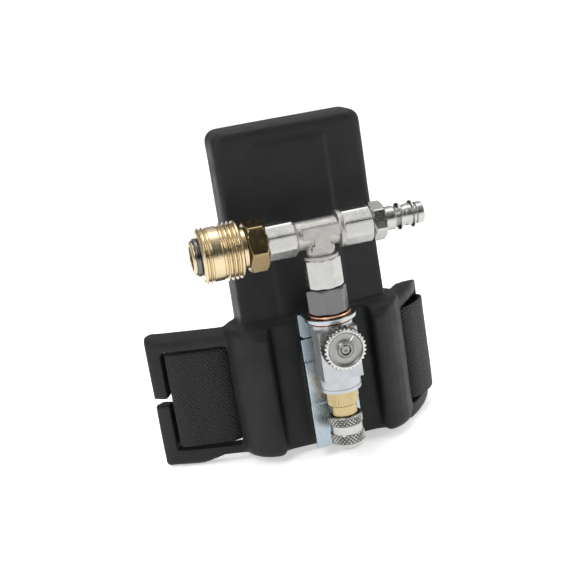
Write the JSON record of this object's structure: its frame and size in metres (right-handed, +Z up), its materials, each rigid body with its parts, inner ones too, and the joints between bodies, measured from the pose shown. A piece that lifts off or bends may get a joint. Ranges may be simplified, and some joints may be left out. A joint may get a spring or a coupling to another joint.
{
  "type": "belt-worn compressed air regulating unit",
  "caption": "Hip pad on a webbing belt carrying a needle valve with a knurled knob, a tee, a quick coupler, a plug nipple and a small hose coupling.",
  "frame": {"origin": "on the flat hip face of the pad, straight behind the middle of the tee", "axes": "+Z up as worn, +Y towards the wearer's hip, +X along the tee from the quick coupler to the plug nipple"},
  "size_m": [0.1528, 0.11, 0.1685],
  "materials": {
    "pad_black": "satin moulded, fine leather-like grain",
    "buckle_black": "satin",
    "webbing_black": "woven",
    "elastic_black": "knitted elastic",
    "zinc_steel": "zinc plated",
    "black_steel": "blackened",
    "dark_steel": "dark turned",
    "bronze_dark": "dark bronze tone",
    "brass": "polished",
    "copper": "copper sealing ring, burnished",
    "nickel": "satin nickel",
    "anodised": "satin anodised",
    "spring_steel": "plain",
    "rubber": "plain"
  },
  "bodies": {
    "hip_unit": {"pad_shell": "pad_black", "backing_plate": "zinc_steel", "flange_bracket": "zinc_steel", "clip_plate": "zinc_steel", "bracket_rivet_1": "zinc_steel", "bracket_rivet_2": "zinc_steel", "clip_screw_upper": "black_steel", "clip_screw_lower": "black_steel", "tee_body": "nickel", "coupler_rear_body": "bronze_dark", "coupler_front_body": "brass", "coupler_nose_ring": "dark_steel", "coupler_sleeve_spring": "spring_steel", "coupler_poppet_spring": "spring_steel", "coupler_seal": "rubber", "plug_nipple": "nickel", "hex_nipple": "dark_steel", "copper_washer_upper": "copper", "copper_washer_lower": "copper", "valve_body": "anodised", "valve_gland_nut": "nickel", "valve_spindle_seal": "rubber", "outlet_adapter": "brass", "lower_sleeve_spring": "spring_steel", "lower_poppet_spring": "spring_steel", "belt_webbing": "webbing_black", "belt_slack_run": "webbing_black", "buckle_socket": "buckle_black", "coupler_ball_1": "spring_steel", "coupler_ball_2": "spring_steel", "coupler_ball_3": "spring_steel", "coupler_ball_4": "spring_steel", "lower_ball_1": "spring_steel", "lower_ball_2": "spring_steel", "lower_ball_3": "spring_steel"},
    "spindle": {"valve_spindle": "dark_steel"},
    "knob": {"valve_knob": "nickel", "knob_screw": "nickel"},
    "coupler_sleeve": {"coupler_sleeve": "brass"},
    "coupler_poppet": {"coupler_poppet": "brass"},
    "lower_sleeve": {"lower_sleeve": "nickel"},
    "lower_poppet": {"lower_poppet": "brass"},
    "buckle_hook": {"buckle_hook": "buckle_black", "belt_tail_roll": "webbing_black", "belt_keeper_band": "elastic_black"}
  },
  "joints": [
    {"name": "spindle_rise", "type": "slide", "parent": "hip_unit", "child": "spindle", "axis": [0, -1, 0], "range_m": [0, 0.002]},
    {"name": "knob_turn", "type": "hinge", "parent": "spindle", "child": "knob", "pos_m": [0, -0.0755, -0.0519], "axis": [0, -1, 0], "range_deg": [0, 720]},
    {"name": "coupler_sleeve_slide", "type": "slide", "parent": "hip_unit", "child": "coupler_sleeve", "axis": [1, 0, 0], "range_m": [0, 0.0023], "stiffness_N_per_m": 3000, "springref_m": -0.001, "deforming": ["coupler_sleeve_spring"]},
    {"name": "coupler_poppet_slide", "type": "slide", "parent": "hip_unit", "child": "coupler_poppet", "axis": [1, 0, 0], "range_m": [0, 0.004], "stiffness_N_per_m": 1500, "springref_m": -0.001, "deforming": ["coupler_poppet_spring"]},
    {"name": "lower_sleeve_slide", "type": "slide", "parent": "hip_unit", "child": "lower_sleeve", "axis": [0, 0, 1], "range_m": [0, 0.003], "stiffness_N_per_m": 1500, "springref_m": -0.001, "deforming": ["lower_sleeve_spring"]},
    {"name": "lower_poppet_slide", "type": "slide", "parent": "hip_unit", "child": "lower_poppet", "axis": [0, 0, 1], "range_m": [0, 0.0022], "stiffness_N_per_m": 1000, "springref_m": -0.001, "deforming": ["lower_poppet_spring"]},
    {"name": "buckle_slide", "type": "slide", "parent": "hip_unit", "child": "buckle_hook", "axis": [-1, 0, 0], "range_m": [0, 0.028], "deforming": ["belt_slack_run"]}
  ],
  "couplings": [
    {"joint": "knob_turn", "follows": "spindle_rise", "rad_per_m": 6283}
  ]
}
